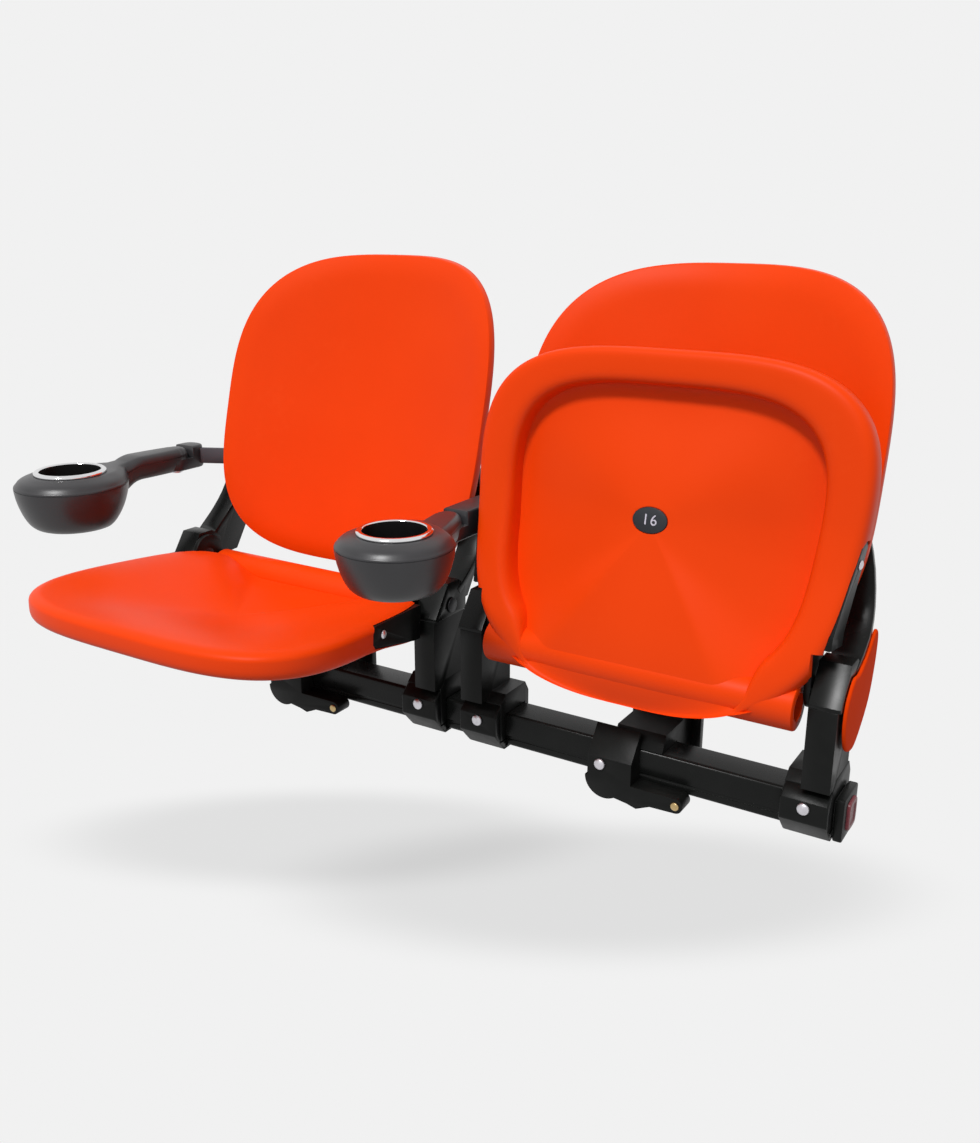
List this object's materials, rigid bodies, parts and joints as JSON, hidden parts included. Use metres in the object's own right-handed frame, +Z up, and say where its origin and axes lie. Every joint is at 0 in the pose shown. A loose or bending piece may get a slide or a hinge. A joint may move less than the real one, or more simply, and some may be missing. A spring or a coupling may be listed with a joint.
{
  "type": "stadium seat",
  "caption": "Beam-mounted tip-up stadium seating unit with curved plastic shells, one seat down and one tipped up, and cup-holder armrests.",
  "frame": {"origin": "on the riser wall's face, midway between the two wall brackets and at mid-height of their plates", "axes": "+X along the row to the sitter's left, +Y into the wall, +Z up; a sitter faces -Y"},
  "size_m": [1.1325, 0.5509, 0.6288],
  "materials": {
    "orange": "satin",
    "steel": "semi-gloss powder coat",
    "casting": "satin powder coat",
    "zinc": "zinc plated",
    "weight": "plain",
    "brass": "plain",
    "chrome": "polished",
    "armrest": "satin",
    "bar": "satin",
    "disc": "satin"
  },
  "bodies": {
    "frame": {"armrest_arm_left": "armrest", "armrest_arm_middle": "armrest", "armrest_bar_left": "bar", "armrest_bar_middle": "bar", "back_arm_left_left": "steel", "back_arm_left_right": "steel", "back_arm_right_left": "steel", "back_arm_right_right": "steel", "beam": "steel", "beam_end_cap_left": "casting", "beam_end_cap_right": "casting", "bracket_hook_left": "casting", "bracket_hook_right": "casting", "clamp_bolt_left_left": "zinc", "clamp_bolt_left_right": "zinc", "clamp_bolt_right_left": "zinc", "clamp_bolt_right_right": "zinc", "clamp_jaw_left_left": "casting", "clamp_jaw_left_right": "casting", "clamp_jaw_right_left": "casting", "clamp_jaw_right_right": "casting", "end_cover_left": "orange", "end_cover_right": "orange", "hook_bolt_left": "zinc", "hook_bolt_right": "zinc", "pivot_pin_left_left": "zinc", "pivot_pin_left_right": "zinc", "pivot_pin_right_left": "zinc", "pivot_pin_right_right": "zinc", "seat_back_left": "orange", "seat_back_right": "orange", "standard_left_left": "casting", "standard_left_right": "casting", "standard_right_left": "casting", "standard_right_right": "casting", "swing_pin_left": "zinc", "swing_pin_middle": "zinc", "tongue_bolt_left": "brass", "tongue_bolt_right": "brass", "wall_bracket_left": "casting", "wall_bracket_right": "casting"},
    "pan_left": {"arm_bolt_left_left": "zinc", "arm_bolt_left_right": "zinc", "balance_weight_left": "weight", "hinge_arm_left_left": "casting", "hinge_arm_left_right": "casting", "number_disc_left": "disc", "seat_pan_left": "orange"},
    "pan_right": {"arm_bolt_right_left": "zinc", "arm_bolt_right_right": "zinc", "balance_weight_right": "weight", "hinge_arm_right_left": "casting", "hinge_arm_right_right": "casting", "number_disc_right": "disc", "seat_pan_right": "orange"},
    "cup_left": {"cup_holder_left": "armrest", "cup_liner_left": "chrome"},
    "cup_middle": {"cup_holder_middle": "armrest", "cup_liner_middle": "chrome"}
  },
  "joints": [
    {"name": "left_pan_tip", "type": "hinge", "parent": "frame", "child": "pan_left", "pos_m": [-0.25, -0.082, 0.141], "axis": [-1, 0, 0], "range_deg": [0, 96]},
    {"name": "right_pan_tip", "type": "hinge", "parent": "frame", "child": "pan_right", "pos_m": [0.25, -0.082, 0.141], "axis": [1, 0, 0], "range_deg": [0, 96]},
    {"name": "left_cup_swing", "type": "hinge", "parent": "frame", "child": "cup_left", "pos_m": [-0.545, -0.037, 0.261], "axis": [0, 0, -1], "range_deg": [0, 60]},
    {"name": "middle_cup_swing", "type": "hinge", "parent": "frame", "child": "cup_middle", "pos_m": [0, -0.116, 0.254], "axis": [0, 0, -1], "range_deg": [0, 62.4]}
  ],
  "couplings": [
    {"joint": "middle_cup_swing", "follows": "right_pan_tip", "ratio": 0.65}
  ]
}
